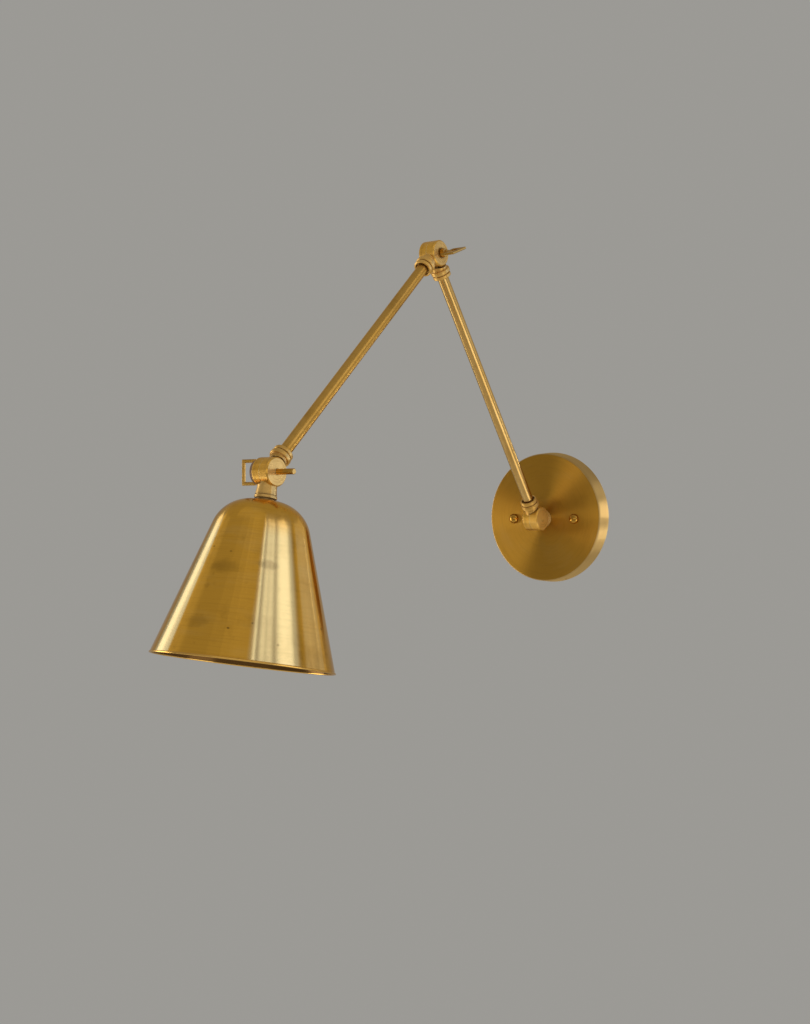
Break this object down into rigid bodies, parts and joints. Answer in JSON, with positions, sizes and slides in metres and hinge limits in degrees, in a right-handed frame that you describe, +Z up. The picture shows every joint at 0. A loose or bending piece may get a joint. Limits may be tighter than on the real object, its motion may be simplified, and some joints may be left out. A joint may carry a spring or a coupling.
{
  "type": "swing arm wall lamp",
  "caption": "Brass wall lamp: round canopy, swivelling base, jointed arms with loop thumbscrews and a tilting bell shade.",
  "frame": {"origin": "centre of the crossbar's slot pattern, on the wall plane", "axes": "X right along the wall, +Y into the wall, +Z up"},
  "size_m": [0.1396, 0.5077, 0.3677],
  "materials": {
    "brass": "satin polished, slightly tarnished",
    "canopy_brass": "spun and polished",
    "dark_brass": "turned, unpolished",
    "steel": "zinc plated",
    "earth_green": "green, satin",
    "wire_nut": "moulded",
    "black_insulation": "matt",
    "porcelain": "glazed",
    "nickel": "nickel plated",
    "bulb_glass": "frosted"
  },
  "bodies": {
    "mount": {"canopy": "canopy_brass", "crossbar": "steel", "canopy_studs": "steel", "cap_nuts": "brass", "earth_screw": "earth_green", "wire_connectors": "wire_nut", "supply_leads": "black_insulation", "swivel_bush": "dark_brass"},
    "swivel": {"base_knuckle": "brass", "swivel_washer": "steel", "lock_nut": "steel", "base_pivot_screw": "brass", "base_washer": "steel"},
    "lower_arm": {"lower_arm_foot": "brass", "lower_tube": "brass", "lower_arm_top": "brass", "lower_cable": "black_insulation"},
    "elbow_screw": {"elbow_thumbscrew": "brass", "elbow_washer": "steel"},
    "forearm": {"forearm_top": "brass", "forearm_tube": "brass", "forearm_end": "brass", "forearm_cable": "black_insulation"},
    "head_screw": {"head_thumbscrew": "brass", "head_washer": "dark_brass"},
    "head": {"head_knuckle": "brass", "head_nipple": "dark_brass", "head_cable": "black_insulation", "shade_seat": "dark_brass", "shade": "brass", "crown_washer": "steel", "holder_cap": "brass", "holder_nut": "steel", "holder_shell": "brass", "holder_insulator": "porcelain", "screw_shell": "dark_brass", "centre_contact": "dark_brass", "bulb_cap": "nickel", "bulb_glass": "bulb_glass"}
  },
  "joints": [
    {"name": "base_swivel", "type": "hinge", "parent": "mount", "child": "swivel", "pos_m": [0, -0.015, 0], "axis": [0, 1, 0], "range_deg": [-90, 90]},
    {"name": "base_tilt", "type": "hinge", "parent": "swivel", "child": "lower_arm", "pos_m": [0, -0.0305, 0], "axis": [1, 0, 0], "range_deg": [-35, 120]},
    {"name": "elbow", "type": "hinge", "parent": "lower_arm", "child": "forearm", "pos_m": [0, -0.19932, 0.2358], "axis": [-1, 0, 0], "range_deg": [-8, 203]},
    {"name": "head_tilt", "type": "hinge", "parent": "forearm", "child": "head", "pos_m": [0, -0.41072, 0.03728], "axis": [-1, 0, 0], "range_deg": [-68, 138]},
    {"name": "elbow_screw_turn", "type": "hinge", "parent": "lower_arm", "child": "elbow_screw", "pos_m": [0, -0.19932, 0.2358], "axis": [1, 0, 0], "continuous": true},
    {"name": "head_screw_turn", "type": "hinge", "parent": "head", "child": "head_screw", "pos_m": [0, -0.41072, 0.03728], "axis": [-1, 0, 0], "continuous": true}
  ]
}
